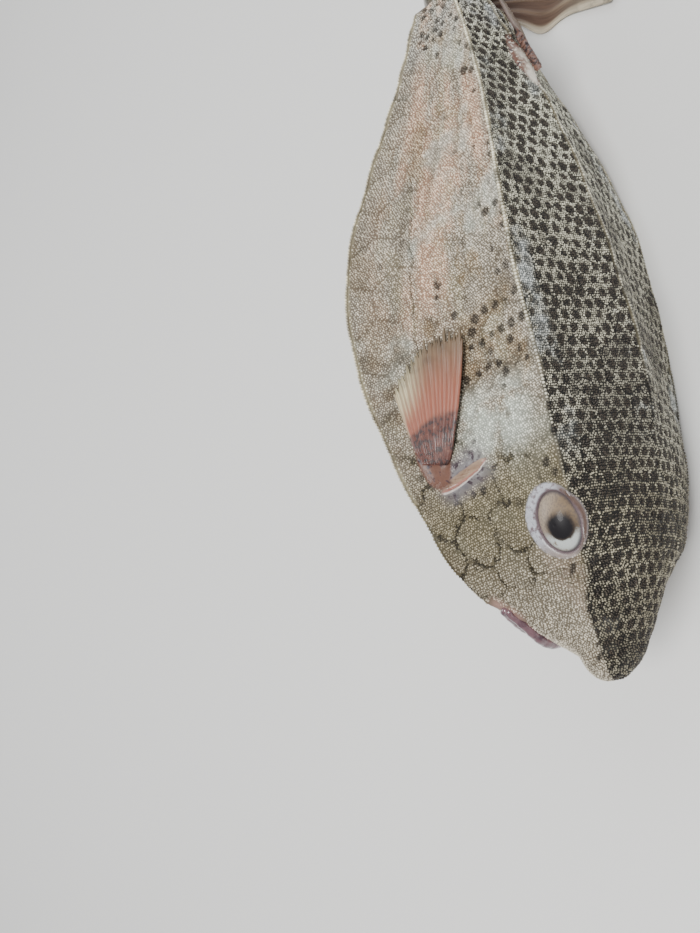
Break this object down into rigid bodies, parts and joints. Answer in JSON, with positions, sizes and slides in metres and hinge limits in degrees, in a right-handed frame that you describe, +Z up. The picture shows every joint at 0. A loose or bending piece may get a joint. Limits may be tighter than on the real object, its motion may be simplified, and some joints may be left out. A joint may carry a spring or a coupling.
{
  "type": "boxfish",
  "caption": "Life-size still model of a horn-nosed boxfish lying on its left flank, with a keeled plated shell, folded fins and a limp tail.",
  "frame": {"origin": "on the floor, under the centre of the model's box", "axes": "+X from snout to tail, +Z up through the fish's right flank, -Y towards its back"},
  "size_m": [0.2748, 0.114, 0.0881],
  "materials": {
    "head_skin": "rough plated skin, olive and beige with dark spots, slightly wet",
    "trunk_skin": "granular plated skin, spotted back and pale flanks, slightly wet",
    "stalk_skin": "smooth wet dark skin with pale mottling",
    "tail_fin_membrane": "wet dark membrane between pale rays",
    "fin_membrane": "wet thin membrane between pale rays",
    "pectoral_membrane": "wet thin reddish membrane, pale yellow at the tips",
    "eye": "glossy clouded eye of a caught fish"
  },
  "bodies": {
    "root": {"head": "head_skin", "trunk": "trunk_skin", "tail_stalk_front": "stalk_skin", "tail_stalk_rear": "stalk_skin", "tail_fin": "tail_fin_membrane", "dorsal_fin": "fin_membrane", "anal_fin": "fin_membrane", "pectoral_fin_right": "pectoral_membrane", "pectoral_fin_left": "pectoral_membrane", "eye_right": "eye", "eye_left": "eye"}
  },
  "joints": []
}
